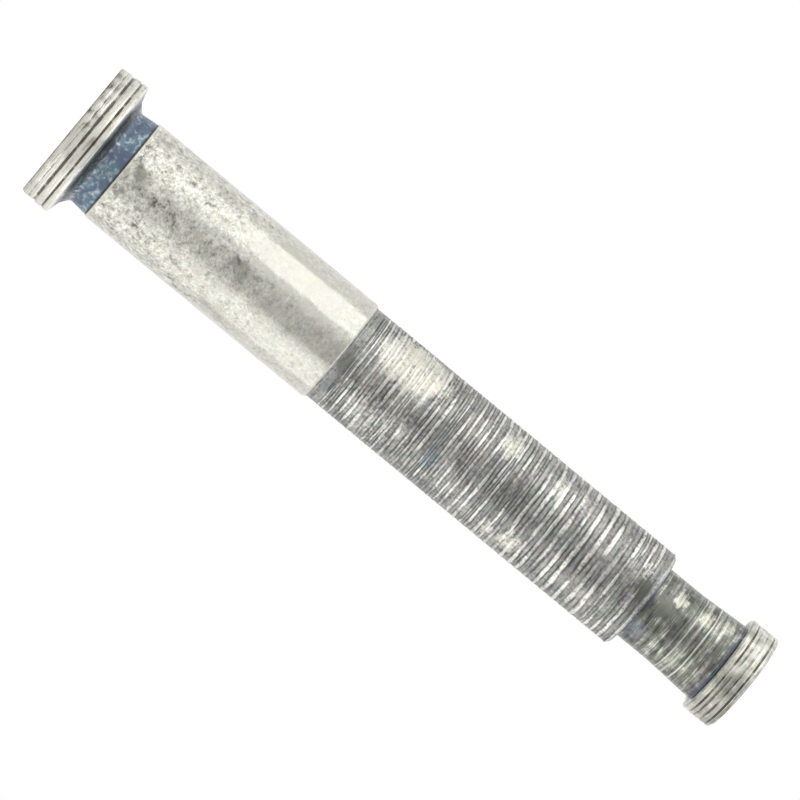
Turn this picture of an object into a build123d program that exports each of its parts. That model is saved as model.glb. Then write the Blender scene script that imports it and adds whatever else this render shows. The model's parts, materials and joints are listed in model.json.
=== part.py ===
from build123d import *
import os

# A headed steel stud, turned from one bar. It stands on the flat end face of its head, with the
# origin at the centre of that face and +Z along the stud towards the button at its far end.

# Driving dimensions, in millimetres

# Head: a thin flange whose rim is a little wider at the back than at the end face
head_d = 16.34
head_face_d = 15.96
head_h = 3.28
head_face_round = 0.50
head_back_round = 0.22

# Two grooves turned round the rim of the head, the wider one nearer the end face
head_wide_groove_z = 1.52
head_wide_groove_w = 0.50
head_narrow_groove_z = 2.56
head_narrow_groove_w = 0.30
head_groove_depth = 0.14

# Back of the head: a shallow slope inwards, then a short cone down to the relief
back_slope_h = 0.46
root_cone_d = 13.10
root_cone_h = 0.68
root_round = 0.55

# Relief under the head, which widens slightly up to the step of the shank
relief_d = 11.30
relief_top_d = 11.70
relief_l = 2.12

# Shank: the plain ground cylinder that takes the load
shank_d = 12.00
shank_l = 28.98
shank_bottom_chamfer = 0.06
shank_end_chamfer_l = 0.35

# Threaded length, drawn as a plain cylinder over the crests of its fine thread
runout_d = 11.38
runout_l = 1.00
thread_d = 11.50
thread_l = 38.61
thread_start_chamfer = 0.06
thread_end_chamfer = 0.36

# Reduced neck: straight at first, then flaring towards the button
neck_d = 8.68
neck_straight_l = 4.50
neck_end_d = 9.34
neck_flare_l = 5.57

# Button at the far end, whose rim narrows slightly towards its end face
button_d = 11.44
button_end_d = 11.38
button_l = 3.39
button_inner_chamfer = 0.20
button_end_chamfer = 0.24

# Grooves turned round the button, by their distance from its inner face
button_first_groove_z = 0.80
button_second_groove_z = 1.33
button_third_groove_z = 2.07
button_last_groove_z = 2.80
button_groove_w = 0.26
button_groove_depth = 0.10
button_light_groove_depth = 0.06

# The bottom of a turned groove, as a share of its mouth
groove_floor_share = 0.4

# Heights along the stud, each one from the length below it
root_cone_z = head_h + back_slope_h
relief_z = root_cone_z + root_cone_h
shank_z = relief_z + relief_l
runout_z = shank_z + shank_l
thread_z = runout_z + runout_l
neck_z = thread_z + thread_l
flare_z = neck_z + neck_straight_l
button_z = flare_z + neck_flare_l
top_z = button_z + button_l


def head_rim_r(height):
    """The radius of the head's rim at a height above the end face."""
    return (head_face_d + (head_d - head_face_d) * height / head_h) / 2


def button_rim_r(height):
    """The radius of the button's rim at a height above its inner face."""
    return (button_d + (button_end_d - button_d) * height / button_l) / 2


def turned(corners, rounds=None):
    """A solid turned about Z from an outline of (radius, height) corners, closed to its start.

    rounds gives some corners a fillet, by the corner's place in the list.
    """
    rounds = rounds or {}
    radii = [rounds.get(place, 0) for place in range(len(corners))]
    with BuildPart() as piece:
        with BuildSketch(Plane.XZ):
            with BuildLine():
                FilletPolyline(*corners, radius=radii, close=True)
            make_face()
        revolve(axis=Axis.Z)
    return piece.part


def body():
    """The whole stud without its grooves, from the end face of the head up to the button."""
    head = [
        (0, 0),
        (head_face_d / 2, 0),
        (head_d / 2, head_h),
        (root_cone_d / 2, root_cone_z),
        (relief_d / 2, relief_z),
    ]
    head_rounds = {1: head_face_round, 2: head_back_round, 3: root_round, 4: root_round}
    shank = [
        (relief_top_d / 2, shank_z),
        (shank_d / 2 - shank_bottom_chamfer, shank_z),
        (shank_d / 2, shank_z + shank_bottom_chamfer),
        (shank_d / 2, runout_z - shank_end_chamfer_l),
    ]
    thread = [
        (runout_d / 2, runout_z),
        (runout_d / 2, thread_z),
        (thread_d / 2, thread_z + thread_start_chamfer),
        (thread_d / 2, neck_z - thread_end_chamfer),
        (thread_d / 2 - thread_end_chamfer, neck_z),
    ]
    neck = [
        (neck_d / 2, neck_z),
        (neck_d / 2, flare_z),
        (neck_end_d / 2, button_z),
    ]
    button = [
        (button_d / 2 - button_inner_chamfer, button_z),
        (button_rim_r(button_inner_chamfer), button_z + button_inner_chamfer),
        (button_rim_r(button_l - button_end_chamfer), top_z - button_end_chamfer),
        (button_end_d / 2 - button_end_chamfer, top_z),
        (0, top_z),
    ]
    return turned(head + shank + thread + neck + button, head_rounds)


def groove(outside_r, height, width, depth):
    """The ring of metal that a tool takes out of a rim of radius outside_r at a height."""
    floor = width * groove_floor_share / 2
    mouth = width / 2
    above = depth
    flare = (mouth - floor) * above / depth
    return turned(
        [
            (outside_r - depth, height - floor),
            (outside_r + above, height - mouth - flare),
            (outside_r + above, height + mouth + flare),
            (outside_r - depth, height + floor),
        ]
    )


def head_grooves():
    """The two grooves of the head, by height above the end face and by width."""
    cuts = [
        (head_wide_groove_z, head_wide_groove_w),
        (head_narrow_groove_z, head_narrow_groove_w),
    ]
    return [groove(head_rim_r(z), z, width, head_groove_depth) for z, width in cuts]


def button_grooves():
    """The four grooves of the button, by height above its inner face and by depth."""
    cuts = [
        (button_first_groove_z, button_groove_depth),
        (button_second_groove_z, button_light_groove_depth),
        (button_third_groove_z, button_light_groove_depth),
        (button_last_groove_z, button_groove_depth),
    ]
    return [
        groove(button_rim_r(z), button_z + z, button_groove_w, depth) for z, depth in cuts
    ]


stud = body() - head_grooves() - button_grooves()

os.makedirs("parts", exist_ok=True)
export_step(stud, "parts/stud.step")
print("overall length", round(top_z, 2), "mm, volume", round(stud.volume, 1), "mm3")
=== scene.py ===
from collections import namedtuple
import json
import math

import bpy
from bpy.props import FloatProperty, FloatVectorProperty, IntProperty, PointerProperty
from mathutils import Matrix, Vector


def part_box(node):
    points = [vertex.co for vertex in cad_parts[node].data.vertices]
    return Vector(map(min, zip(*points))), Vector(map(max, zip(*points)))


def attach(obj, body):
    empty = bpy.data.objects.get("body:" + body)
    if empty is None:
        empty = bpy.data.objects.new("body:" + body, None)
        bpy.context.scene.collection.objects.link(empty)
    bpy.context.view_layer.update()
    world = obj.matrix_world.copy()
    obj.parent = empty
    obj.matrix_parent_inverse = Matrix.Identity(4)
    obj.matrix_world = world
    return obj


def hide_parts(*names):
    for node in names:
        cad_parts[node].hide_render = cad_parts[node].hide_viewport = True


bl_info = {
    "name": "Turned Threaded Stud",
    "version": (1, 0, 0),
    "blender": (4, 5, 0),
    "location": "View3D > Sidebar > Stud",
    "description": "Builds a worn plated steel stud with a fine thread around its packed solid",
    "category": "Mesh",
}

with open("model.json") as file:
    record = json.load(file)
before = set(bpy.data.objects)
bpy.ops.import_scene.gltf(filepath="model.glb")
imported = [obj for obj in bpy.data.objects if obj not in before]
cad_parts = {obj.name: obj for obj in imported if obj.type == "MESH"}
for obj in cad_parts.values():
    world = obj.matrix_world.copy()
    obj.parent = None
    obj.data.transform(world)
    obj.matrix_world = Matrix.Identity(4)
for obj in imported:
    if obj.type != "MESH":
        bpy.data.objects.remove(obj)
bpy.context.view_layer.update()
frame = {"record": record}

MM = 0.001
DEGREE = math.pi / 180

mounts = {mount["name"]: mount for mount in frame["record"]["mounts"]}


def mount_span(name):
    """The radius of a round mount and the heights where its wall starts and ends, in millimetres."""
    mount = mounts[name]
    middle = mount["pos_m"][2] / MM
    half = mount["dims"]["length_mm"] / 2
    return mount["dims"]["r_mm"], middle - half, middle + half


shank_r, shank_from, shank_to = mount_span("shank")
thread_r, thread_from, thread_to = mount_span("thread")
top_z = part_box("stud")[1][2] / MM


# Properties


def length(name, description, size_mm):
    """A property that holds a length, with its default given in millimetres."""
    return FloatProperty(
        name=name, description=description, default=size_mm * MM, min=0, unit="LENGTH", precision=5
    )


def linear(hex_colour):
    """The linear red, green, blue and alpha of an sRGB hex colour."""
    channels = [int(hex_colour[i : i + 2], 16) / 255 for i in (1, 3, 5)]
    return [c / 12.92 if c <= 0.04045 else ((c + 0.055) / 1.055) ** 2.4 for c in channels] + [1.0]


def colour(name, description, hex_colour):
    """A property that holds a colour, with its default given as sRGB hex."""
    default = linear(hex_colour)
    return FloatVectorProperty(
        name=name, description=description, default=default, subtype="COLOR", size=4, min=0, max=1
    )


class StudSizes(bpy.types.PropertyGroup):
    """Sizes of the turned stud."""

    head_r: length("Head radius", "Radius of the head at its back edge", 8.17)
    head_face_r: length("Head face radius", "Radius of the head at its end face", 7.98)
    head_h: length("Head height", "Height of the head's rim", 3.28)
    head_groove: length("Head groove depth", "Depth of the grooves round the head", 0.14)
    relief_r: length("Relief radius", "Radius of the relief under the head", 5.65)
    relief_top_r: length("Relief top radius", "Radius of the relief at the shank", 5.85)
    shank_r: length("Shank radius", "Radius of the plain shank", shank_r)
    valley_r: length("Valley radius", "Radius of the run-out and of the thread's valleys", 5.69)
    crest_r: length("Crest radius", "Radius over the crests of the thread", thread_r)
    neck_r: length("Neck radius", "Radius of the reduced neck", 4.34)
    neck_end_r: length("Neck end radius", "Radius of the neck where it meets the button", 4.67)
    button_r: length("Button radius", "Radius of the button at its inner face", 5.72)
    button_end_r: length("Button end radius", "Radius of the button at its end face", 5.69)
    button_h: length("Button height", "Length of the button", 3.39)
    dents: length("Dents", "Rise and fall of the dented plating, taken together", 0.05)
    columns: IntProperty(
        name="Columns", description="Faces round the stud", default=132, min=24, max=400
    )


class StudFinish(bpy.types.PropertyGroup):
    """Colours of the stud's finishes."""

    plating: colour("Plating", "Bright zinc plating of the shank", "#cdccc2")
    # Pale plating is also the colour of the highlights painted on edges
    plating_pale: colour("Pale plating", "Thick pale grains of the plating, and painted highlights on edges", "#f2f1e8")
    plating_dark: colour("Dark plating", "Worn spots and pits of the plating", "#6c6b62")
    rim: colour("Head rim", "Plating on the rim of the head", "#e2e1d8")
    button: colour("Button rim", "Plating on the rim of the button", "#b4b4aa")
    # The groove colour is brown dirt and painted shade, and it also paints shade into the button's
    # inner corner
    groove: colour("Grooves", "Brown dirt and painted shade in the turned grooves and the button's inner corner", "#574e46")
    cone: colour("Cone", "Dull grey steel behind the head", "#74787b")
    # The relief's blue and indigo are painted shade and reflection; the blue also tints stains on
    # the neck
    relief_blue: colour("Relief blue", "Dark blue painted shade and reflection on the relief", "#738a99")
    indigo: colour("Indigo oxide", "Deeper blue in patches of the relief", "#676e88")
    relief_pale: colour("Pale relief", "Rubbed grains of the relief", "#d3dde4")
    valley: colour("Valleys", "Steel in the valleys of the thread", "#a5a5a1")
    # Dark dirt, which is also the shade painted at the foot of the thread's ridges and in the
    # relief's corners
    grime_and_shade: colour("Dirt and shade", "Dark dirt in patches, and shade painted at the foot of the thread's ridges and in the relief's corners", "#50504e")
    # The crest colour also paints highlights on the thread's crests and shoulder
    crest: colour("Crests", "Worn bright metal and painted highlights on the crests of the thread", "#ebebe4")
    cream: colour("Cream plating", "Plating left on the thread and the neck", "#e5e3d5")
    blue: colour("Blue oxide", "Blue tint of the stains on the thread", "#b9ccd7")
    dark: colour("Dark stains", "Dark smudges on the shank and the thread, and a darker patch near the head", "#66665f")
    neck: colour("Neck", "Dull turned steel of the neck", "#7f8179")
    neck_pale: colour("Pale neck", "Rubbed rings of the neck", "#d6d7cc")
    # Navy is shade painted into the corners at both ends of the neck
    navy: colour("Navy shade", "Dark blue shade painted into the corners of the neck", "#545968")


class StudStage(bpy.types.PropertyGroup):
    """Camera and light."""

    camera_distance: FloatProperty(
        name="Camera distance",
        description="Distance from the camera to the stud's axis",
        default=0.76,
        unit="LENGTH",
    )
    axis_dip: FloatProperty(
        name="Axis dip",
        description="How far the stud's axis points below level in the picture",
        default=39.6 * DEGREE,
        subtype="ANGLE",
    )
    target_height: length("Target height", "Height on the stud that the camera looks at", 43.12)
    picture_side: length("Picture side", "Side of the square that the camera sees", 81.1)
    left_lamp: FloatProperty(
        name="Left lamp", description="Power of the left lamp", default=0.36, unit="POWER"
    )
    right_lamp: FloatProperty(
        name="Right lamp", description="Power of the right lamp", default=0.33, unit="POWER"
    )


# Outline of the turned body, in metres


# Back of the head: a shallow slope inwards, then a cone down to the relief
BACK_SLOPE_H = 0.46 * MM
CONE_R = 6.55 * MM
CONE_H = 0.68 * MM
FACE_ROUND = 0.50 * MM
BACK_ROUND = 0.22 * MM
CONE_ROUND = 0.55 * MM

# Grooves of the head, by height above its end face
LIGHT_GROOVE_Z = 0.80 * MM
LIGHT_GROOVE_W = 0.20 * MM
LIGHT_GROOVE_DEPTH = 0.03 * MM
WIDE_GROOVE_Z = 1.52 * MM
WIDE_GROOVE_W = 0.50 * MM
NARROW_GROOVE_Z = 2.56 * MM
NARROW_GROOVE_W = 0.30 * MM

# Steps between the relief, the shank, the thread and the neck
SHANK_START_CHAMFER = 0.06 * MM
SHANK_END_CHAMFER_H = 0.35 * MM
THREAD_END_CHAMFER = 0.36 * MM
STEP_Z = shank_from * MM - SHANK_START_CHAMFER
NECK_Z = thread_to * MM + THREAD_END_CHAMFER

# Neck and button, the grooves by height above the button's inner face, depth and tone
NECK_STRAIGHT_H = 4.50 * MM
NECK_CORNER_ROUND = 0.15 * MM
NECK_FLARE_ROUND = 1.0 * MM
BUTTON_INNER_CHAMFER = 0.20 * MM
BUTTON_END_CHAMFER = 0.24 * MM
BUTTON_END_ROUND = 0.1 * MM
BUTTON_GROOVE_W = 0.26 * MM
BUTTON_GROOVES = (
    (0.80 * MM, 0.10 * MM, -0.9),
    (1.33 * MM, 0.06 * MM, -0.6),
    (2.07 * MM, 0.06 * MM, -0.6),
    (2.80 * MM, 0.10 * MM, -0.9),
)

# The bottom of a turned groove, as a share of its mouth
GROOVE_FLOOR_SHARE = 0.4

# How far the shade painted into a corner or the highlight painted on an edge reaches along the wall
# beside it, where haze is the faint outer part of the painted shade
RELIEF_SHADE = 0.25 * MM
CHAMFER_SHINE = 0.3 * MM
RUNOUT_SHADE = 0.20 * MM
NECK_SHADE = 0.35 * MM
NECK_HAZE = 0.75 * MM
BUTTON_SHADE = 0.5 * MM
BUTTON_HAZE = 1.0 * MM

# How far the finish of the head and of the shank reaches past its edge, and how far below a step
# the finish above it begins
HEAD_OVERLAP = 0.10 * MM
SHANK_OVERLAP = 0.20 * MM
FINISH_GAP = 0.01 * MM

# The smooth lip at the thread's end, before its chamfer
LIP_H = 0.02 * MM

# A rounding takes up at most this share of the stretch on either side of its corner
MOST_REACH = 0.45
SMALL_ROUNDING = 0.03 * MM
SMALL_STEPS = 2
LARGE_STEPS = 5

# The greatest rise from one row of faces to the next, and how far the finer rows reach past the
# rings of the neck
ROW_GAP = 0.30 * MM
RING_ROW_GAP = 0.07 * MM
RING_MARGIN = 0.5 * MM

# A corner of the outline: its rounding is 0 where it stays as it is, and its tone is -1 where
# shade is painted into a corner or onto a groove's floor, which also holds brown dirt, and 1
# where a highlight is painted on an edge
Corner = namedtuple("Corner", "radius height rounding tone", defaults=(SMALL_ROUNDING, 0))


def rounded(before, corner, after):
    """Points on the curve that rounds a corner between its two neighbours, each with its tone."""
    if not corner.rounding:
        return [corner]
    tip = Vector(corner[:2])
    back = Vector(before[:2]) - tip
    ahead = Vector(after[:2]) - tip
    steps = LARGE_STEPS if corner.rounding > SMALL_ROUNDING else SMALL_STEPS
    half = back.angle(ahead) / 2
    most = min(back.length * MOST_REACH, ahead.length * MOST_REACH)
    reach = min(corner.rounding / math.tan(half), most)
    start = tip + back.normalized() * reach
    end = tip + ahead.normalized() * reach
    shares = (step / steps for step in range(steps + 1))
    curve = [start.lerp(tip, share).lerp(tip.lerp(end, share), share) for share in shares]
    return [Corner(point.x, point.y, 0, corner.tone) for point in curve]


def groove(rim, height, width, depth, tone=-1):
    """The corners of a groove turned into a rim, whose radius at a height is rim(height)."""
    mouth = width / 2
    floor = mouth * GROOVE_FLOOR_SHARE
    # The mouths take half the floor's tone turned over, which paints highlights on the edges of a
    # dark groove
    return [
        Corner(rim(height - mouth), height - mouth, tone=-tone / 2),
        Corner(rim(height) - depth, height - floor, tone=tone),
        Corner(rim(height) - depth, height + floor, tone=tone),
        Corner(rim(height + mouth), height + mouth, tone=-tone / 2),
    ]


def tapered(start_r, end_r, start_z, end_z):
    """A function that gives the radius of a tapered rim at a height."""
    return lambda height: start_r + (end_r - start_r) * (height - start_z) / (end_z - start_z)


def head_corners(sizes):
    """The head, its cone and the relief, up to the step of the shank."""
    rim = tapered(sizes.head_face_r, sizes.head_r, 0, sizes.head_h)
    cone_z = sizes.head_h + BACK_SLOPE_H
    relief_z = cone_z + CONE_H
    shade_z = STEP_Z - RELIEF_SHADE
    relief = tapered(sizes.relief_r, sizes.relief_top_r, relief_z, STEP_Z)
    return [
        Corner(0, 0),
        Corner(sizes.head_face_r, 0, FACE_ROUND),
        *groove(rim, LIGHT_GROOVE_Z, LIGHT_GROOVE_W, LIGHT_GROOVE_DEPTH, -0.5),
        *groove(rim, WIDE_GROOVE_Z, WIDE_GROOVE_W, sizes.head_groove),
        *groove(rim, NARROW_GROOVE_Z, NARROW_GROOVE_W, sizes.head_groove),
        # Tones paint highlights on the back edge and the step's chamfer, and shade into the corners
        # of the cone and of the step
        Corner(sizes.head_r, sizes.head_h, BACK_ROUND, 0.6),
        Corner(CONE_R, cone_z, CONE_ROUND, -0.4),
        Corner(sizes.relief_r, relief_z, CONE_ROUND),
        Corner(relief(shade_z), shade_z, 0),
        Corner(sizes.relief_top_r, STEP_Z, tone=-1),
        Corner(sizes.shank_r - SHANK_START_CHAMFER, STEP_Z, tone=0.7),
        Corner(sizes.shank_r, shank_from * MM, tone=0.7),
    ]


def shank_corners(sizes):
    """The shank and the run-out up to the start of the fine thread, and the shoulder at its end."""
    runout_z = shank_to * MM + SHANK_END_CHAMFER_H
    return [
        Corner(sizes.shank_r, shank_from * MM + CHAMFER_SHINE, 0),
        Corner(sizes.shank_r, shank_to * MM),
        Corner(sizes.valley_r, runout_z, tone=-1),
        Corner(sizes.valley_r, runout_z + RUNOUT_SHADE, 0),
        Corner(sizes.valley_r, thread_from * MM, 0),
        # The shoulder's tone paints a highlight on it
        Corner(sizes.crest_r, thread_to * MM, 0, 0.8),
        Corner(sizes.crest_r, thread_to * MM + LIP_H, tone=0.8),
        Corner(sizes.crest_r - THREAD_END_CHAMFER, NECK_Z, tone=0.4),
    ]


def neck_corners(sizes):
    """The reduced neck and the button, up to the middle of the button's end face."""
    end_z = top_z * MM
    button_z = end_z - sizes.button_h
    flare_z = NECK_Z + NECK_STRAIGHT_H
    haze_z = button_z - BUTTON_HAZE
    shade_z = button_z - BUTTON_SHADE
    flare = tapered(sizes.neck_r, sizes.neck_end_r, flare_z, button_z)
    rim = tapered(sizes.button_r, sizes.button_end_r, button_z, end_z)
    corners = [
        # Tones paint shade into the corners at both ends of the neck, fading out through the haze,
        # and a highlight on the button's inner chamfer
        Corner(sizes.neck_r, NECK_Z, NECK_CORNER_ROUND, -1),
        Corner(sizes.neck_r, NECK_Z + NECK_SHADE, 0, -0.6),
        Corner(sizes.neck_r, NECK_Z + NECK_HAZE, 0),
        Corner(sizes.neck_r, flare_z, NECK_FLARE_ROUND),
        Corner(flare(haze_z), haze_z, 0),
        Corner(flare(shade_z), shade_z, 0, -0.5),
        Corner(sizes.neck_end_r, button_z, NECK_CORNER_ROUND, -1),
        Corner(sizes.button_r - BUTTON_INNER_CHAMFER, button_z),
        Corner(sizes.button_r, button_z + BUTTON_INNER_CHAMFER, tone=0.3),
    ]
    for height, depth, tone in BUTTON_GROOVES:
        corners += groove(rim, button_z + height, BUTTON_GROOVE_W, depth, tone)
    corners += [
        Corner(sizes.button_end_r, end_z - BUTTON_END_CHAMFER, BUTTON_END_ROUND),
        Corner(sizes.button_end_r - BUTTON_END_CHAMFER, end_z, BUTTON_END_ROUND),
        Corner(0, end_z),
    ]
    return corners


def row_gap(height):
    """The greatest rise between rows at a height, with no limit where the thread takes over."""
    if thread_from * MM < height < thread_to * MM:
        return math.inf
    rings_from = NECK_RINGS[0].height * MM - RING_MARGIN
    rings_to = NECK_RINGS[-1].height * MM + RING_MARGIN
    return RING_ROW_GAP if rings_from < height < rings_to else ROW_GAP


def divided(points):
    """The points with more between them, so that the rows lie close enough together."""
    filled = [points[0]]
    for here, there in zip(points, points[1:]):
        rise = abs(there.height - here.height)
        steps = max(1, math.ceil(rise / row_gap((here.height + there.height) / 2)))
        for step in range(1, steps + 1):
            share = step / steps
            filled.append(Corner(*(a + (b - a) * share for a, b in zip(here, there))))
    return filled


def outline_points(sizes):
    """The whole outline with its corners rounded and its long stretches divided into rows."""
    corners = head_corners(sizes) + shank_corners(sizes) + neck_corners(sizes)
    points = [corners[0]]
    for before, corner, after in zip(corners, corners[1:], corners[2:]):
        points += rounded(before, corner, after)
    return divided(points + [corners[-1]])


# Wear, as listed places on the side that the photograph shows


# A spot's middle and reach: height in millimetres, azimuth in degrees from the front
Spot = namedtuple("Spot", "height azimuth tall wide strength", defaults=(1.0,))

# A spot keeps its full strength over this share of its reach, and fades from there to its edge
SPOT_CORE = 0.45

# Cream plating that is left, blue oxide, dark smudges and a darker patch near the head, and where a
# second ridge splits the thread
CREAM_SPOTS = (
    Spot(1.8, 52, 2.2, 40, 0.6),
    Spot(27.2, -32, 9.5, 30),
    Spot(42.1, -42, 6.3, 50),
    Spot(42.0, 34, 5.6, 60, 0.5),
    Spot(54.7, -42, 1.8, 28, 0.9),
    Spot(58.1, 52, 0.9, 16, 0.8),
    Spot(60.5, 44, 1.9, 26, 0.85),
    Spot(61.2, -40, 1.2, 26, 0.8),
    Spot(64.0, -38, 0.9, 24, 0.7),
    Spot(73.2, -28, 0.8, 16, 0.8),
    Spot(78.1, -40, 1.1, 22),
    Spot(81.2, -38, 0.8, 28, 0.9),
    Spot(83.7, -45, 0.8, 22, 0.7),
)
BLUE_SPOTS = (
    Spot(36.5, 36, 0.9, 28, 0.8),
    Spot(48.8, 27, 1.4, 18),
    Spot(52.0, -2, 1.0, 18, 0.4),
    Spot(65.0, -2, 0.9, 26, 0.8),
    Spot(67.0, 14, 0.8, 30, 0.6),
    Spot(69.7, 16, 0.8, 18, 0.6),
    Spot(76.2, 42, 1.2, 38, 0.8),
)
DARK_SPOTS = (
    Spot(7.7, 20, 0.9, 11, 0.75),
    Spot(8.2, -10, 1.4, 13, 0.75),
    # A darker patch on the upper side near the head
    Spot(8.1, -56, 1.5, 14, 0.65),
    Spot(18.0, -2, 0.4, 12, 0.8),
    Spot(21.1, -7, 0.9, 3, 1.0),
    Spot(21.7, 0, 2.1, 16, 0.7),
    Spot(22.3, 58, 2.8, 20, 0.6),
    Spot(36.2, 7, 1.2, 26, 0.5),
    Spot(62.0, 27, 17.0, 15, 0.4),
    Spot(73.9, -8, 1.2, 16, 0.9),
    Spot(74.3, 0, 0.7, 80, 0.45),
    Spot(76.9, -12, 1.4, 24),
    Spot(87.0, 40, 2.4, 50, 0.9),
)
SPLIT_SPOTS = (
    Spot(41.2, 0, 4.2, 80, 0.7),
    Spot(56.4, 0, 2.2, 80, 0.8),
    Spot(64.4, 0, 1.6, 80, 0.6),
)


# Fine thread and rings


# The heights in millimetres at which the thread's crests pass the front, read one by one: the
# spacing wanders, as the photograph shows
CREST_HEIGHTS = (
    36.8, 37.3, 38.0, 38.8, 39.6, 40.5, 41.6, 42.4, 43.1, 43.65, 44.55, 45.7, 46.35, 47.3,
    48.2, 48.75, 49.5, 50.3, 51.1, 51.9, 52.6, 53.6, 54.5, 55.4, 56.0, 57.0, 57.9, 58.6,
    59.7, 60.7, 61.85, 62.8, 63.9, 65.1, 66.15, 67.6, 68.75, 70.0, 71.15, 71.8, 72.7, 73.6,
)

# Turns of the thread before its first crest at the front, and after its last one
TURNS_BEFORE = 0.38
TURNS_AFTER = 1.06
TURNS = TURNS_BEFORE + len(CREST_HEIGHTS) - 1 + TURNS_AFTER

# Turns are counted from the middle of the strip, and the front is a quarter turn back
FIRST_TURN = -(len(CREST_HEIGHTS) // 2) - 0.25 - TURNS_BEFORE

# Points across the strip that is wound into the thread
STRIP_POINTS = 9

# Section of the thread, by distance from the middle of its ridge as a share of one turn: a ridge
# rises from its foot to its top, and gets narrower or wider by up to its spread on either side
RIDGE_FOOT = 0.28
RIDGE_TOP = 0.06
SECOND_FOOT = 0.33
SECOND_TOP = 0.46
RIDGE_SPREAD = 0.10

# How far the thread's start and end are from where its ridge is whole, where it begins to fade,
# where it is gone, and where the lip of the shoulder begins
RIDGE_GROWTH = 0.35 * MM
RIDGE_FADES = 0.90 * MM
RIDGE_GONE = 0.55 * MM
SHOULDER_LIP = 0.10 * MM

# The height on the stud that is one unit of the noise in the ridge's wear
WEAR_LAYER = 1.2 * MM

# A raised ring of the neck: its height on the stud, half its width and its rise, in millimetres
Ring = namedtuple("Ring", "height half rise")

NECK_RINGS = (
    Ring(79.20, 0.18, 0.014),
    Ring(79.75, 0.14, 0.012),
    Ring(80.35, 0.18, 0.028),
    Ring(81.15, 0.28, 0.024),
    Ring(82.10, 0.18, 0.035),
    Ring(82.70, 0.16, 0.015),
)
HIGHEST_RING = max(ring.rise for ring in NECK_RINGS)

# How far a ring strays from its height, in millimetres
RING_WANDER = 0.12


def follow_crests(mapping):
    """Bends a curve from turns to height, both as shares of the thread, through the crests."""
    for number, height in enumerate(CREST_HEIGHTS):
        share = (height - thread_from) / (thread_to - thread_from)
        mapping.curves[0].points.new((number + TURNS_BEFORE) / TURNS, share)
    mapping.update()


# Nodes


# The kinds of node that are used most, settings that several nodes share, and a vector that
# takes the height out of a place
MATH = "ShaderNodeMath"
VECTOR_MATH = "ShaderNodeVectorMath"
MAP_RANGE = "ShaderNodeMapRange"
NOISE = "ShaderNodeTexNoise"
SEPARATE = "ShaderNodeSeparateXYZ"
STORE = "GeometryNodeStoreNamedAttribute"
SMOOTH = {"interpolation_type": "SMOOTHSTEP"}
ABOUT_Z = {"rotation_type": "Z_AXIS"}
FLOAT = {"data_type": "FLOAT"}
LEVEL = (1, 1, 0)

# Points closer than this are merged, where the strip of the thread meets itself and the walls
MERGE_DISTANCE = 0.0002 * MM


def add(tree, kind, *values, output=0, named=None, **settings):
    """Adds a node, sets it, fills its inputs with values or links, and returns one output.

    values fill the inputs in order, and None leaves one alone. named fills them by name or number.
    """
    node = tree.nodes.new(kind)
    for name, value in settings.items():
        setattr(node, name, value)
    for key, value in [*enumerate(values), *(named or {}).items()]:
        if isinstance(value, bpy.types.NodeSocket):
            tree.links.new(value, node.inputs[key])
        elif value is not None:
            node.inputs[key].default_value = value
    return node.outputs[output] if len(node.outputs) else node


# The inputs of the stud's tree, by kind of socket
STUD_INPUTS = {
    "NodeSocketGeometry": ("Outline",),
    "NodeSocketInt": ("Columns", "Windings"),
    "NodeSocketFloat": (
        "First turn",
        "Last turn",
        "Thread start",
        "Thread end",
        "Valley radius",
        "Crest radius",
        "Dents",
        "Seed",
        "Relief start",
        "Relief end",
        "Run-out start",
        "Neck start",
        "Neck end",
    ),
    "NodeSocketMaterial": ("Head", "Relief", "Shank", "Thread", "Neck", "Button"),
}


def turned_rows(tree, given):
    """The outline turned about the axis of the stud, open where the thread goes."""
    rows = add(tree, "GeometryNodeAttributeDomainSize", given["Outline"], component="MESH")
    columns = add(tree, MATH, given["Columns"], 1, operation="ADD")
    blank = add(tree, "GeometryNodeMeshGrid", math.tau, 1.0, columns, rows)
    place = add(tree, "GeometryNodeInputPosition")
    angle = add(tree, SEPARATE, place)
    index = add(tree, "GeometryNodeInputIndex")
    row = add(tree, MATH, index, rows, operation="MODULO")
    # The tone carries shade painted into corners and highlights painted on edges
    tone = add(tree, "GeometryNodeInputNamedAttribute", "tone", **FLOAT)
    tone = add(tree, "GeometryNodeSampleIndex", given["Outline"], tone, row, **FLOAT)
    blank = add(tree, STORE, blank, None, "tone", tone, **FLOAT)
    corner = (given["Outline"], place, row)
    corner = add(tree, "GeometryNodeSampleIndex", *corner, data_type="FLOAT_VECTOR")
    turned = add(tree, "ShaderNodeVectorRotate", corner, named={"Angle": angle}, **ABOUT_Z)
    blank = add(tree, "GeometryNodeSetPosition", blank, None, turned)
    height = add(tree, SEPARATE, place, output=2)
    above = add(tree, MATH, height, given["Thread start"], operation="GREATER_THAN")
    below = add(tree, MATH, height, given["Thread end"], operation="LESS_THAN")
    inside = add(tree, MATH, above, below, operation="MULTIPLY")
    return add(tree, "GeometryNodeDeleteGeometry", blank, inside, domain="FACE")


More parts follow.
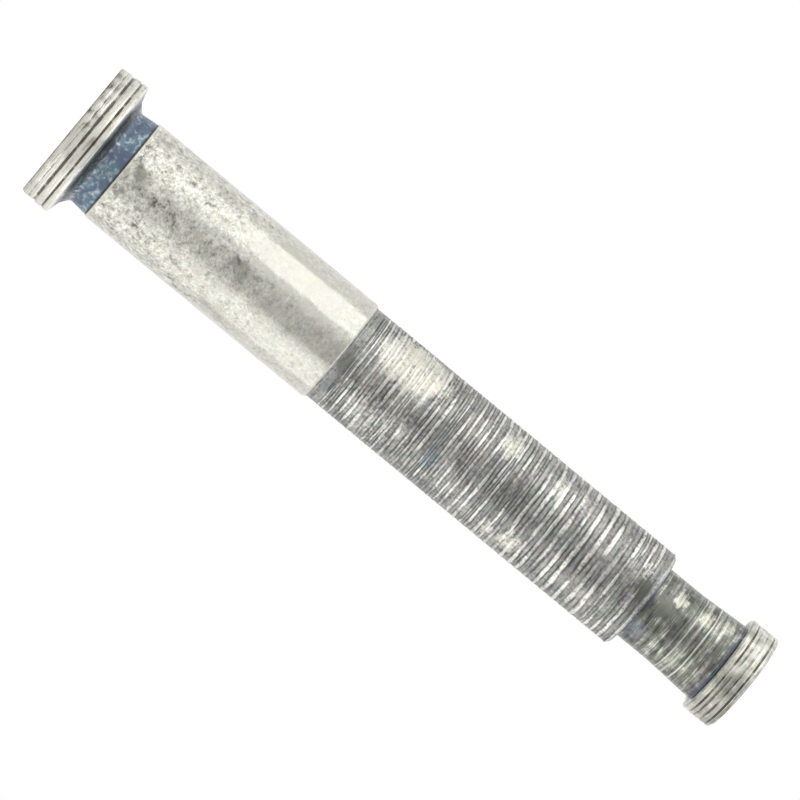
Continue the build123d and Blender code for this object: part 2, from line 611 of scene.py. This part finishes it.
def thread_strip(tree, given):
    """A strip one ridge wide, wound from below the thread's start to above its end."""
    start = given["Thread start"]
    end = given["Thread end"]
    columns = (given["Columns"], given["Windings"], 1)
    columns = add(tree, MATH, *columns, operation="MULTIPLY_ADD")
    wound = add(tree, MATH, given["Windings"], math.tau, operation="MULTIPLY")
    strip = add(tree, "GeometryNodeMeshGrid", wound, 1.0, columns, STRIP_POINTS)
    place = add(tree, "GeometryNodeInputPosition")
    angle = add(tree, SEPARATE, place)
    across = add(tree, SEPARATE, place, output=1)
    turn = add(tree, MATH, angle, 1 / math.tau, across, operation="MULTIPLY_ADD")
    share = add(tree, MAP_RANGE, turn, given["First turn"], given["Last turn"])
    share = add(tree, "ShaderNodeFloatCurve", 1.0, share)
    follow_crests(share.node.mapping)
    height = add(tree, MAP_RANGE, share, 0.0, 1.0, start, end)

    # Wear follows the ridge, in patches about 3.5 mm long that change every 0.75 mm of height
    layer = add(tree, MATH, height, 1 / WEAR_LAYER, operation="MULTIPLY")
    round_place = add(tree, "ShaderNodeCombineXYZ", 1.0, 0.0, layer)
    round_place = add(
        tree, "ShaderNodeVectorRotate", round_place, named={"Angle": angle}, **ABOUT_Z
    )
    wear = (round_place, given["Seed"], 1.6, 3.0, 0.6)
    wear = add(tree, NOISE, *wear, noise_dimensions="4D")
    spread = add(tree, MAP_RANGE, wear, 0.3, 0.7, -RIDGE_SPREAD, RIDGE_SPREAD)
    away = add(tree, MATH, across, operation="ABSOLUTE")
    away = add(tree, MATH, away, spread, operation="ADD")
    ridge = add(tree, MAP_RANGE, away, RIDGE_FOOT, RIDGE_TOP, 0.0, 1.0, **SMOOTH)

    # A second, lower ridge runs between the first ones in some places
    azimuth = add(tree, MATH, angle, math.pi / 2, operation="ADD")
    azimuth = add(tree, MATH, azimuth, math.pi / 2, -math.pi / 2, operation="WRAP")
    height_mm = add(tree, MATH, height, 1 / MM, operation="MULTIPLY")
    unrolled = add(tree, "ShaderNodeCombineXYZ", azimuth, height_mm)
    split = spotted(tree, unrolled, SPLIT_SPOTS)
    second = (away, SECOND_FOOT, SECOND_TOP, 0.0, split)
    second = add(tree, MAP_RANGE, *second, **SMOOTH)
    ridge = add(tree, MATH, ridge, second, operation="MAXIMUM")
    left = add(tree, MAP_RANGE, wear, 0.62, 0.42, 0.45, 1.0)
    ridge = add(tree, MATH, ridge, left, operation="MULTIPLY")

    # The ridge grows out of the run-out and fades before the shoulder, which ends in a lip
    grown = add(tree, MATH, start, RIDGE_GROWTH, operation="ADD")
    grown = add(tree, MAP_RANGE, height, start, grown)
    ridge = add(tree, MATH, ridge, grown, operation="MULTIPLY")
    fading = add(tree, MATH, end, -RIDGE_FADES, operation="ADD")
    gone = add(tree, MATH, end, -RIDGE_GONE, operation="ADD")
    faded = add(tree, MAP_RANGE, height, gone, fading)
    ridge = add(tree, MATH, ridge, faded, operation="MULTIPLY")
    lip = add(tree, MATH, end, -SHOULDER_LIP, operation="ADD")
    lip = add(tree, MAP_RANGE, height, lip, end)
    ridge = add(tree, MATH, ridge, lip, operation="MAXIMUM")
    for name, value in (("ridge", ridge), ("away", away)):
        strip = add(tree, STORE, strip, None, name, value, **FLOAT)
    radius = (ridge, 0.0, 1.0, given["Valley radius"], given["Crest radius"])
    radius = add(tree, MAP_RANGE, *radius)
    corner = add(tree, "ShaderNodeCombineXYZ", radius, 0.0, height)
    turned = add(tree, "ShaderNodeVectorRotate", corner, named={"Angle": angle}, **ABOUT_Z)
    return add(tree, "GeometryNodeSetPosition", strip, None, turned)


def spotted(tree, unrolled, spots):
    """How strongly a place is marked by a list of spots, from 0 to 1.

    unrolled holds the place's azimuth in radians and its height in millimetres.
    """
    marked = 0.0
    for spot in spots:
        shrink = (1 / (spot.wide * DEGREE), 1 / spot.tall, 0.0)
        middle = (-spot.azimuth / spot.wide, -spot.height / spot.tall, 0.0)
        away = add(tree, VECTOR_MATH, unrolled, shrink, middle, operation="MULTIPLY_ADD")
        away = add(tree, VECTOR_MATH, away, output="Value", operation="LENGTH")
        mark = (away, 1.0, SPOT_CORE, 0.0, spot.strength)
        mark = add(tree, MAP_RANGE, *mark, **SMOOTH)
        marked = add(tree, MATH, mark, marked, operation="MAXIMUM")
    return marked


def worn(tree, given, whole):
    """Stains, neck rings and dents on the whole stud."""
    place = add(tree, "GeometryNodeInputPosition")
    place_mm = add(tree, VECTOR_MATH, place, named={"Scale": 1 / MM}, operation="SCALE")
    parts = add(tree, SEPARATE, place_mm).node.outputs
    # The edge of a stain wanders by about 1 mm round the stud and 0.5 mm along it, in bays about
    # 1 mm wide
    ragged = (place_mm, given["Seed"], 0.9, 4.0, 0.7)
    ragged = add(tree, NOISE, *ragged, output="Color", noise_dimensions="4D")
    stirred = (ragged, (1.0, 2.0, 0.0), (-0.5, -1.0, 0.0))
    stirred = add(tree, VECTOR_MATH, *stirred, operation="MULTIPLY_ADD")
    # The back repeats the marks of the front, half a turn away
    azimuth = add(tree, MATH, parts[1], -1, operation="MULTIPLY")
    azimuth = add(tree, MATH, parts[0], azimuth, operation="DIVIDE")
    azimuth = add(tree, MATH, azimuth, operation="ARCTANGENT")
    unrolled = add(tree, "ShaderNodeCombineXYZ", azimuth, parts[2])
    unrolled = add(tree, VECTOR_MATH, unrolled, stirred, operation="ADD")
    for name, spots in (("cream", CREAM_SPOTS), ("blue", BLUE_SPOTS), ("dark", DARK_SPOTS)):
        mark = spotted(tree, unrolled, spots)
        whole = add(tree, STORE, whole, None, name, mark, **FLOAT)

    # Rings left on the neck by the tool
    wander = add(tree, NOISE, place_mm, None, 0.22, 2.0)
    wander = add(tree, MAP_RANGE, wander, 0.3, 0.7, -RING_WANDER, RING_WANDER)
    ring_height = add(tree, MATH, parts[2], wander, operation="ADD")
    raised = 0.0
    for ring in NECK_RINGS:
        away = add(tree, MATH, ring_height, -ring.height, operation="ADD")
        away = add(tree, MATH, away, operation="ABSOLUTE")
        rise = add(tree, MAP_RANGE, away, ring.half, 0.0, 0.0, ring.rise, **SMOOTH)
        raised = add(tree, MATH, rise, raised, operation="MAXIMUM")
    ridge = add(tree, "GeometryNodeInputNamedAttribute", "ridge", **FLOAT)
    ridge = add(tree, MATH, raised, 1 / HIGHEST_RING, ridge, operation="MULTIPLY_ADD")
    whole = add(tree, STORE, whole, None, "ridge", ridge, **FLOAT)

    # Dents just over 1 mm wide move the wall in and out, and leave the end faces flat
    dent = (place_mm, given["Seed"], 0.8, 2.0)
    dent = add(tree, NOISE, *dent, noise_dimensions="4D")
    dent = add(tree, MATH, dent, -0.5, operation="ADD")
    dent = add(tree, MATH, dent, given["Dents"], operation="MULTIPLY")
    raised = add(tree, MATH, raised, MM, dent, operation="MULTIPLY_ADD")
    outwards = add(tree, VECTOR_MATH, place, LEVEL, operation="MULTIPLY")
    outwards = add(tree, VECTOR_MATH, outwards, operation="NORMALIZE")
    moved = add(tree, VECTOR_MATH, outwards, named={"Scale": raised}, operation="SCALE")
    return add(tree, "GeometryNodeSetPosition", whole, named={"Offset": moved})


def finished(tree, given, whole):
    """The materials by height, from the head to the button."""
    whole = add(tree, "GeometryNodeRealizeInstances", whole)
    whole = add(tree, "GeometryNodeSetMaterial", whole, None, given["Head"])
    height = add(tree, "GeometryNodeInputPosition")
    height = add(tree, SEPARATE, height, output=2)
    for start, material in (
        ("Relief start", "Relief"),
        ("Relief end", "Shank"),
        ("Run-out start", "Thread"),
        ("Neck start", "Neck"),
        ("Neck end", "Button"),
    ):
        above = add(tree, MATH, height, given[start], operation="GREATER_THAN")
        whole = add(tree, "GeometryNodeSetMaterial", whole, above, given[material])
    return whole


def stud_tree():
    """The tree that turns the outline into the stud, winds its fine thread and wears it."""
    tree = bpy.data.node_groups.new("Turned stud", "GeometryNodeTree")
    tree.is_modifier = True
    for kind, names in STUD_INPUTS.items():
        for name in names:
            tree.interface.new_socket(name, in_out="INPUT", socket_type=kind)
    tree.interface.new_socket("Stud", in_out="OUTPUT", socket_type="NodeSocketGeometry")
    given = tree.nodes.new("NodeGroupInput").outputs
    joined = tree.nodes.new("GeometryNodeJoinGeometry")
    tree.links.new(turned_rows(tree, given), joined.inputs[0])
    tree.links.new(thread_strip(tree, given), joined.inputs[0])
    distance = {"Distance": MERGE_DISTANCE}
    whole = add(tree, "GeometryNodeMergeByDistance", joined.outputs[0], named=distance)
    whole = worn(tree, given, whole)
    whole = add(tree, "GeometryNodeSetShadeSmooth", whole)
    add(tree, "NodeGroupOutput", finished(tree, given, whole))
    return tree


# Materials


def blank_material(name):
    """A new material, its empty tree, and the place on its object in metres."""
    material = bpy.data.materials.new(name)
    material.use_nodes = True
    tree = material.node_tree
    tree.nodes.clear()
    return material, tree, add(tree, "ShaderNodeTexCoord", output="Object")


def new_metal(name):
    """A new material for the stud, its empty tree, and the place on the stud in millimetres."""
    material, tree, place = blank_material(name)
    place = add(tree, "ShaderNodeMapping", place, named={"Scale": (1 / MM, 1 / MM, 1 / MM)})
    return material, tree, place


def tool_marks(tree, place, squeeze, scale, detail, roughness):
    """Noise drawn out round the stud into streaks, which a lathe's tool leaves.

    A mark is 1 / scale millimetres wide, and longer than that by 1 / squeeze times.
    """
    turned = add(tree, "ShaderNodeMapping", place, named={"Scale": (squeeze, squeeze, 1.0)})
    return add(tree, NOISE, turned, None, scale, detail, roughness)


def marks(tree, *names):
    """The stud's marks by name, each from 0 to 1, or for the tone from -1, painted shade, to 1, a
    painted highlight.
    """
    return [add(tree, "ShaderNodeAttribute", output="Fac", attribute_name=name) for name in names]


def painted(tree, base, *coats, blend="MIX"):
    """A base colour under coats of other colours, each with its share from 0 to 1."""
    settings = {"data_type": "RGBA", "blend_type": blend}
    for share, coat in coats:
        colours = {6: base, 7: coat}
        base = add(tree, "ShaderNodeMix", share, output=2, named=colours, **settings)
    return base


def close_material(tree, place, base, roughness, bump, bump_mm):
    """Closes a metal's tree with its shader, given its colour, roughness and bump height."""
    # Thin oxide shifts the hue a little, in patches just over 1 mm wide
    hue = add(tree, NOISE, place, None, 0.8, 3.0, 0.6, output="Color")
    base = painted(tree, base, (0.18, hue), blend="SOFT_LIGHT")
    normal = add(tree, "ShaderNodeBump", 1.0, bump_mm * MM, named={"Height": bump})
    shader = add(tree, "ShaderNodeBsdfPrincipled", base, 1.0, roughness, named={"Normal": normal})
    add(tree, "ShaderNodeOutputMaterial", shader)


def shank_plating(finish):
    """Zinc plating on ground steel: bright, pale grains, small dark pits near the head, a painted
    edge highlight.
    """
    material, tree, place = new_metal("zinc_plated_ground_steel")
    cream, dark, tone = marks(tree, "cream", "dark", "tone")
    height = add(tree, SEPARATE, place, output=2)
    # Worn areas are about 4 mm across, blisters about 1 mm, and grains about 0.4 mm, and all of
    # them get fainter from the head to the thread, and where the plating is whole
    clouds = add(tree, NOISE, place, None, 0.25, 3.0)
    blisters = add(tree, NOISE, place, None, 0.95, 3.0, 0.6)
    grain = add(tree, NOISE, place, None, 2.4, 4.0, 0.72)
    mottled = add(tree, MATH, clouds, 24, height, operation="MULTIPLY_ADD")
    mottled = add(tree, MAP_RANGE, mottled, 22, 42, 1.0, 0.35)
    smooth = add(tree, MAP_RANGE, cream, 0.0, 1.0, 1.0, 0.25)
    mottled = add(tree, MATH, mottled, smooth, operation="MULTIPLY")
    uneven = add(tree, MATH, blisters, 0.6, grain, operation="MULTIPLY_ADD")
    pale = add(tree, MAP_RANGE, uneven, 0.81, 0.94, 0.0, mottled)
    worn_away = add(tree, MAP_RANGE, uneven, 0.76, 0.58, 0.0, mottled)
    speckled = add(tree, MATH, grain, 1.1, dark, operation="MULTIPLY_ADD")
    speckled = add(tree, MAP_RANGE, speckled, 1.05, 1.50, 0.0, 0.85)
    # A highlight is painted in pale plating on the chamfer at the start of the shank, by the tone
    edge = add(tree, MAP_RANGE, tone, 0.0, 0.8, 0.0, 0.8)
    base = painted(
        tree,
        finish.plating,
        (pale, finish.plating_pale),
        (worn_away, finish.plating_dark),
        (speckled, finish.dark),
        (edge, finish.plating_pale),
    )
    roughness = add(tree, MAP_RANGE, mottled, 0.1, 1.0, 0.14, 0.20)
    bump = add(tree, MATH, uneven, mottled, operation="MULTIPLY")
    close_material(tree, place, base, roughness, bump, bump_mm=0.045)
    return material


def rim_plating(finish, name, base):
    """Zinc plating on a turned rim: pale and dark streaks round it, brown dirt and painted shade in
    its grooves and corner, and painted highlights on its edges.
    """
    material, tree, place = new_metal(name)
    tone, cream, dark = marks(tree, "tone", "cream", "dark")
    # The tool's marks are about 0.4 mm wide and 3 mm long, and the patches 1.5 mm across
    streaks = tool_marks(tree, place, 0.14, 2.4, 3.0, 0.65)
    patches = add(tree, NOISE, place, None, 0.65, 4.0, 0.6)
    uneven = add(tree, MATH, streaks, patches, operation="ADD")
    stained = add(tree, MATH, cream, dark, operation="SUBTRACT")
    stained = add(tree, MATH, stained, 0.3, uneven, operation="MULTIPLY_ADD")
    pale = add(tree, MAP_RANGE, stained, 0.98, 1.18, 0.0, 0.9)
    worn_away = add(tree, MAP_RANGE, stained, 0.94, 0.74, 0.0, 0.8)
    # Brown dirt and painted shade fill the groove floors and the button's inner corner, and
    # highlights are painted on the edges, all by the tone
    grime_and_shade = add(tree, MATH, patches, 2.2, tone, operation="MULTIPLY_ADD")
    grime_and_shade = add(tree, MAP_RANGE, grime_and_shade, 0.85, 0.15, 0.0, 0.92)
    highlight_and_bare_metal = add(tree, MATH, tone, uneven, operation="MULTIPLY")
    highlight_and_bare_metal = add(tree, MAP_RANGE, highlight_and_bare_metal, 0.1, 1.1)
    base = painted(
        tree,
        base,
        (pale, finish.plating_pale),
        (worn_away, finish.plating_dark),
        (grime_and_shade, finish.groove),
        (highlight_and_bare_metal, finish.plating_pale),
    )
    roughness = add(tree, MAP_RANGE, uneven, 0.8, 1.2, 0.32, 0.20)
    close_material(tree, place, base, roughness, uneven, bump_mm=0.05)
    return material


def shaded_relief_steel(finish):
    """The turned relief: painted shade and reflection in blue to indigo, bumpy, with bright rubbed
    grains.
    """
    material, tree, place = new_metal("shaded_blue_relief_steel")
    (tone,) = marks(tree, "tone")
    height = add(tree, SEPARATE, place, output=2)
    # Grains are about 0.5 mm across, and they gather in patches of 2 mm
    grain = add(tree, NOISE, place, None, 2.0, 3.0, 0.6)
    patches = add(tree, NOISE, place, None, 0.5, 2.0)
    deep = add(tree, MAP_RANGE, patches, 0.50, 0.38, 0.0, 0.8)
    rubbed = add(tree, MATH, patches, 0.6, grain, operation="MULTIPLY_ADD")
    rubbed = add(tree, MAP_RANGE, rubbed, 0.80, 1.10)
    # The grey cone gives way to the blue relief from 4.1 to 4.8 mm above the end face
    cone = add(tree, MAP_RANGE, height, 4.8, 4.1)
    # Shade is painted into the corners of the cone and the step, and highlights on the edge beside
    # the head and on the step's chamfer, by the tone
    corner = add(tree, MAP_RANGE, tone, 0.0, -0.5, 0.0, 0.9)
    edge = add(tree, MAP_RANGE, tone, 0.0, 0.8)
    # The blue and the indigo paint shade and reflection
    base = painted(
        tree,
        finish.relief_blue,
        (deep, finish.indigo),
        (cone, finish.cone),
        (rubbed, finish.relief_pale),
        (corner, finish.grime_and_shade),
        (edge, finish.plating_pale),
    )
    roughness = add(tree, MAP_RANGE, grain, 0.3, 0.7, 0.45, 0.28)
    close_material(tree, place, base, roughness, grain, bump_mm=0.09)
    return material


def threaded_steel(finish):
    """Cut thread: worn bright crests with a painted highlight over streaked grey valleys, with
    painted shade at the foot of each ridge, dirt, stains and plating.
    """
    material, tree, place = new_metal("cut_thread_steel")
    ridge, away, tone = marks(tree, "ridge", "away", "tone")
    cream, blue, dark = marks(tree, "cream", "blue", "dark")
    # The tool's marks are about 0.3 mm wide and 3.5 mm long, the grit is 0.4 mm across, and the
    # crests are polished, with their painted highlight, in patches of 2 to 3 mm
    streaks = tool_marks(tree, place, 0.09, 3.2, 3.0, 0.65)
    grit = add(tree, NOISE, place, None, 2.6, 3.0, 0.7)
    patches = add(tree, NOISE, place, None, 0.4, 3.0, 0.6)
    uneven = add(tree, MATH, streaks, 0.8, operation="MULTIPLY")
    uneven = add(tree, MATH, grit, 0.8, uneven, operation="MULTIPLY_ADD")
    grimy = add(tree, MAP_RANGE, uneven, 0.84, 0.62, 0.0, 0.7)
    rubbed = add(tree, MAP_RANGE, uneven, 0.84, 1.12, 0.0, 0.5)
    # Shade is painted along the foot of the ridge, stronger in some patches
    inner = add(tree, MAP_RANGE, away, 0.14, 0.22)
    foot = add(tree, MAP_RANGE, away, 0.40, 0.28)
    foot = add(tree, MATH, foot, inner, operation="MULTIPLY")
    shade_patches = add(tree, MAP_RANGE, patches, 0.6, 0.4, 0.2, 0.9)
    foot = add(tree, MATH, foot, shade_patches, operation="MULTIPLY")
    plated = add(tree, MATH, uneven, 1.5, cream, operation="MULTIPLY_ADD")
    plated = add(tree, MAP_RANGE, plated, 1.70, 2.25, 0.0, 0.85)
    smudged = add(tree, MATH, uneven, dark, operation="ADD")
    smudged = add(tree, MAP_RANGE, smudged, 1.15, 1.55, 0.0, 0.9)
    # Crests are worn bright and painted with a highlight, and so is the shoulder by its tone
    polish = add(tree, MATH, uneven, patches, operation="ADD")
    highlight_and_bare_metal = add(tree, MATH, ridge, tone, operation="MAXIMUM")
    highlight_and_bare_metal = add(tree, MATH, highlight_and_bare_metal, polish, operation="MULTIPLY")
    highlight_and_bare_metal = add(tree, MAP_RANGE, highlight_and_bare_metal, 0.55, 1.25)
    chipped = add(tree, MAP_RANGE, grit, 0.36, 0.50, 0.4, 1.0)
    highlight_and_bare_metal = add(tree, MATH, highlight_and_bare_metal, chipped, operation="MULTIPLY")
    base = painted(
        tree,
        finish.valley,
        (grimy, finish.grime_and_shade),
        (rubbed, finish.crest),
        (foot, finish.grime_and_shade),
        (plated, finish.cream),
        (smudged, finish.dark),
        (highlight_and_bare_metal, finish.crest),
    )
    tinted = add(tree, MATH, uneven, blue, operation="ADD")
    tinted = add(tree, MAP_RANGE, tinted, 1.25, 2.05)
    base = painted(tree, base, (tinted, finish.blue), blend="MULTIPLY")
    roughness = add(tree, MAP_RANGE, highlight_and_bare_metal, 0.0, 1.0, 0.38, 0.22)
    close_material(tree, place, base, roughness, uneven, bump_mm=0.04)
    return material


def neck_steel(finish):
    """Turned steel, dull and greenish grey: rubbed rings and streaks, navy shade painted into its
    corners.
    """
    material, tree, place = new_metal("dull_turned_steel")
    ridge, tone, cream, blue, dark = marks(tree, "ridge", "tone", "cream", "blue", "dark")
    # The tool's marks are about 0.35 mm wide and 5 mm long, and the patches 1.2 mm across
    streaks = tool_marks(tree, place, 0.07, 2.8, 4.0, 0.7)
    patches = add(tree, NOISE, place, None, 0.85, 4.0, 0.65)
    uneven = add(tree, MATH, patches, 0.6, streaks, operation="MULTIPLY_ADD")
    calm = add(tree, MAP_RANGE, dark, 0.0, 0.8, 1.0, 0.1)
    rubbed = add(tree, MAP_RANGE, uneven, 0.83, 1.02, 0.0, calm)
    rings = add(tree, MATH, ridge, uneven, operation="MULTIPLY")
    rings = add(tree, MAP_RANGE, rings, 0.1, 0.7)
    rubbed = add(tree, MATH, rings, rubbed, operation="MAXIMUM")
    grimy = add(tree, MAP_RANGE, uneven, 0.80, 0.64, 0.0, calm)
    plated = add(tree, MATH, uneven, 1.5, cream, operation="MULTIPLY_ADD")
    plated = add(tree, MAP_RANGE, plated, 1.75, 2.35, 0.0, 0.8)
    tinted = add(tree, MATH, blue, uneven, operation="MULTIPLY")
    tinted = add(tree, MAP_RANGE, tinted, 0.3, 1.0, 0.0, 0.6)
    # Navy shade is painted into the corners at both ends of the neck, by the tone
    corner = add(tree, MATH, patches, 1.2, tone, operation="MULTIPLY_ADD")
    corner = add(tree, MAP_RANGE, corner, 0.30, -0.25, 0.0, 0.85)
    base = painted(
        tree,
        finish.neck,
        (grimy, finish.grime_and_shade),
        (tinted, finish.relief_blue),
        (rubbed, finish.neck_pale),
        (plated, finish.cream),
        (corner, finish.navy),
    )
    close_material(tree, place, base, 0.26, uneven, bump_mm=0.06)
    return material


# Operators


class STUD_OT_body(bpy.types.Operator):
    """Build the turned stud and its fine thread."""

    bl_idname = "stud.body"
    bl_label = "Build Stud"

    def execute(self, context):
        scene = context.scene
        outline = self.outline(scene, outline_points(scene.stud_sizes))
        tree = stud_tree()
        modifier = outline.modifiers.new("Turned stud", "NODES")
        modifier.node_group = tree
        values = self.values(scene.stud_sizes, scene.stud_finish)
        for item in tree.interface.items_tree:
            if item.name in values:
                modifier[item.identifier] = values[item.name]
        context.view_layer.update()
        graph = context.evaluated_depsgraph_get()
        result = bpy.data.meshes.new_from_object(outline.evaluated_get(graph), depsgraph=graph)
        bpy.data.objects.remove(outline)
        stud = bpy.data.objects.new("turned_stud", result)
        scene.collection.objects.link(stud)
        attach(stud, "root")
        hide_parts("stud")
        return {"FINISHED"}

    def outline(self, scene, points):
        """The outline as an object of edges, with the tone of each point."""
        mesh = bpy.data.meshes.new("stud_outline")
        edges = [(i, i + 1) for i in range(len(points) - 1)]
        mesh.from_pydata([(point.radius, 0, point.height) for point in points], edges, [])
        tones = mesh.attributes.new("tone", "FLOAT", "POINT")
        tones.data.foreach_set("value", [point.tone for point in points])
        outline = bpy.data.objects.new("stud_outline", mesh)
        scene.collection.objects.link(outline)
        return outline

    def values(self, sizes, finish):
        """The values of the tree's inputs, by name."""
        head = rim_plating(finish, "zinc_plated_turned_head", finish.rim)
        button = rim_plating(finish, "zinc_plated_turned_button", finish.button)
        return {
            "Columns": sizes.columns,
            "Windings": 2 * math.ceil(TURNS / 2 + 1),
            "First turn": FIRST_TURN,
            "Last turn": FIRST_TURN + TURNS,
            "Thread start": thread_from * MM,
            "Thread end": thread_to * MM,
            "Valley radius": sizes.valley_r,
            "Crest radius": sizes.crest_r,
            "Dents": sizes.dents,
            "Seed": 3.0,
            "Relief start": sizes.head_h + HEAD_OVERLAP,
            "Relief end": shank_from * MM - SHANK_START_CHAMFER / 2,
            "Run-out start": shank_to * MM + SHANK_OVERLAP,
            "Neck start": NECK_Z - FINISH_GAP,
            "Neck end": top_z * MM - sizes.button_h - FINISH_GAP,
            "Head": head,
            "Relief": shaded_relief_steel(finish),
            "Shank": shank_plating(finish),
            "Thread": threaded_steel(finish),
            "Neck": neck_steel(finish),
            "Button": button,
        }


# Stage, with lengths in metres


WHITE = (1, 1, 1, 1)

# The room that the metal mirrors is white but for the wall behind the camera, which is dim out to
# one angle from its middle, and white again from another one; matt surfaces see an even room
DIM_AZIMUTH = 17
DIM_CORE = 14 * DEGREE
DIM_EDGE = 45 * DEGREE
DIM_LIGHT = 0.55
ROOM_LIGHT = 0.8

# Lamps: their height, their distance from the stud, and how far they are above its middle
LAMP_H = 0.5
LAMP_DISTANCE = 0.40
LAMP_LIFT = 0.05

# The floor takes the stud's shadow up to one radius, and is white from another one outwards
SHADOW_R = 0.06
WHITE_R = 0.35
FLOOR_R = 2.0
FLOOR_SIDES = 96


def compass(azimuth):
    """The level direction at an azimuth in degrees from the camera's side."""
    return (math.sin(azimuth * DEGREE), -math.cos(azimuth * DEGREE), 0.0)


class STUD_OT_stage(bpy.types.Operator):
    """Build the floor, the lamps, the world and the camera."""

    bl_idname = "stud.stage"
    bl_label = "Build Stage"

    def execute(self, context):
        scene = context.scene
        stage = scene.stud_stage
        scene.view_settings.view_transform = "Standard"
        self.world(scene)
        self.floor(scene)
        self.lamp(scene, "left_lamp", azimuth=-63, width=0.40, power=stage.left_lamp)
        self.lamp(scene, "right_lamp", azimuth=73, width=0.56, power=stage.right_lamp)
        self.camera(scene, stage)
        return {"FINISHED"}

    def world(self, scene):
        """A white room with a dimmer wall behind the camera, which the metal mirrors."""
        scene.world = bpy.data.worlds.new("studio")
        scene.world.use_nodes = True
        tree = scene.world.node_tree
        tree.nodes.clear()
        direction = add(tree, "ShaderNodeTexCoord", output="Generated")
        level = add(tree, VECTOR_MATH, direction, LEVEL, operation="MULTIPLY")
        level = add(tree, VECTOR_MATH, level, operation="NORMALIZE")
        towards = {"output": "Value", "operation": "DOT_PRODUCT"}
        towards = add(tree, VECTOR_MATH, level, compass(DIM_AZIMUTH), **towards)
        dim_wall = (towards, math.cos(DIM_EDGE), math.cos(DIM_CORE), 1.0, DIM_LIGHT)
        dim_wall = add(tree, MAP_RANGE, *dim_wall, **SMOOTH)
        height = add(tree, SEPARATE, direction, output=2)
        height = add(tree, MATH, height, operation="ABSOLUTE")
        ceiling = add(tree, MAP_RANGE, height, 0.70, 0.95, DIM_LIGHT, 1.0)
        room = add(tree, MATH, dim_wall, ceiling, operation="MAXIMUM")
        rays = add(tree, "ShaderNodeLightPath").node.outputs
        mirrored = (rays["Is Glossy Ray"], rays["Is Transmission Ray"])
        mirrored = add(tree, MATH, *mirrored, operation="MAXIMUM")
        strength = add(tree, MAP_RANGE, mirrored, 0.0, 1.0, ROOM_LIGHT, room)
        strength = (strength, rays["Is Camera Ray"])
        strength = add(tree, MATH, *strength, operation="MAXIMUM")
        light = add(tree, "ShaderNodeBackground", WHITE, strength)
        add(tree, "ShaderNodeOutputWorld", light)

    def floor(self, scene):
        """A pale floor that the stud stands on, white beyond the stud's shadow."""
        material, tree, place = blank_material("pale_floor")
        distance = add(tree, VECTOR_MATH, place, output="Value", operation="LENGTH")
        far = add(tree, MAP_RANGE, distance, SHADOW_R, WHITE_R, **SMOOTH)
        rays = add(tree, "ShaderNodeLightPath").node.outputs
        seen = (rays["Is Camera Ray"], rays["Is Glossy Ray"])
        seen = add(tree, MATH, *seen, operation="MAXIMUM")
        white = add(tree, MATH, seen, far, operation="MULTIPLY")
        matt = add(tree, "ShaderNodeBsdfDiffuse", linear("#f7f7f5"))
        glow = add(tree, "ShaderNodeEmission", WHITE, 1.0)
        surface = add(tree, "ShaderNodeMixShader", white, matt, glow)
        add(tree, "ShaderNodeOutputMaterial", surface)
        turns = [math.tau * side / FLOOR_SIDES for side in range(FLOOR_SIDES)]
        ring = [(FLOOR_R * math.cos(turn), FLOOR_R * math.sin(turn), 0) for turn in turns]
        mesh = bpy.data.meshes.new("floor")
        mesh.from_pydata(ring, [], [list(range(FLOOR_SIDES))])
        mesh.materials.append(material)
        floor = bpy.data.objects.new("floor", mesh)
        scene.collection.objects.link(floor)

    def lamp(self, scene, name, azimuth, width, power):
        """A tall soft lamp, at an azimuth in degrees from the camera's side."""
        light = bpy.data.lights.new(name, "AREA")
        light.shape = "RECTANGLE"
        light.size = width
        light.size_y = LAMP_H
        light.energy = power
        lamp = bpy.data.objects.new(name, light)
        away = Vector(compass(azimuth))
        lamp.location = away * LAMP_DISTANCE + Vector((0, 0, top_z * MM / 2 + LAMP_LIFT))
        lamp.rotation_euler = away.to_track_quat("Z", "Y").to_euler()
        scene.collection.objects.link(lamp)

    def camera(self, scene, stage):
        """A long lens at floor level, rolled so that the stud lies across the picture."""
        data = bpy.data.cameras.new("camera")
        data.sensor_width = 36.0
        data.lens = data.sensor_width * stage.camera_distance / stage.picture_side
        data.clip_start = 0.01
        data.clip_end = 20
        camera = bpy.data.objects.new("camera", data)
        place = Vector((0, -stage.camera_distance, 0))
        target = Vector((0, 0, stage.target_height))
        ahead = (target - place).normalized()
        across = ahead.cross(Vector((0, 0, 1))).normalized()
        up = across.cross(ahead)
        dip = stage.axis_dip
        right = up * math.cos(dip) - across * math.sin(dip)
        top = -up * math.sin(dip) - across * math.cos(dip)
        turn = Matrix((right, top, -ahead)).transposed().to_4x4()
        camera.matrix_world = Matrix.Translation(place) @ turn
        scene.collection.objects.link(camera)
        scene.camera = camera


class STUD_PT_panel(bpy.types.Panel):
    """Buttons and sizes for the stud."""

    bl_idname = "STUD_PT_panel"
    bl_label = "Turned Stud"
    bl_space_type = "VIEW_3D"
    bl_region_type = "UI"
    bl_category = "Stud"

    def draw(self, context):
        layout = self.layout
        for group, kind in GROUPS.items():
            for name in kind.__annotations__:
                layout.prop(getattr(context.scene, group), name)
        for operator in OPERATORS:
            layout.operator(operator.bl_idname)


GROUPS = {"stud_sizes": StudSizes, "stud_finish": StudFinish, "stud_stage": StudStage}
OPERATORS = (STUD_OT_body, STUD_OT_stage)


def register():
    for name, group in GROUPS.items():
        bpy.utils.register_class(group)
        setattr(bpy.types.Scene, name, PointerProperty(type=group))
    for kind in (*OPERATORS, STUD_PT_panel):
        bpy.utils.register_class(kind)


def unregister():
    for kind in (STUD_PT_panel, *reversed(OPERATORS)):
        bpy.utils.unregister_class(kind)
    for name, group in GROUPS.items():
        delattr(bpy.types.Scene, name)
        bpy.utils.unregister_class(group)


def main():
    """Registers the classes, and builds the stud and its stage."""
    register()
    bpy.ops.stud.body()
    bpy.ops.stud.stage()


if __name__ == "__main__":
    main()
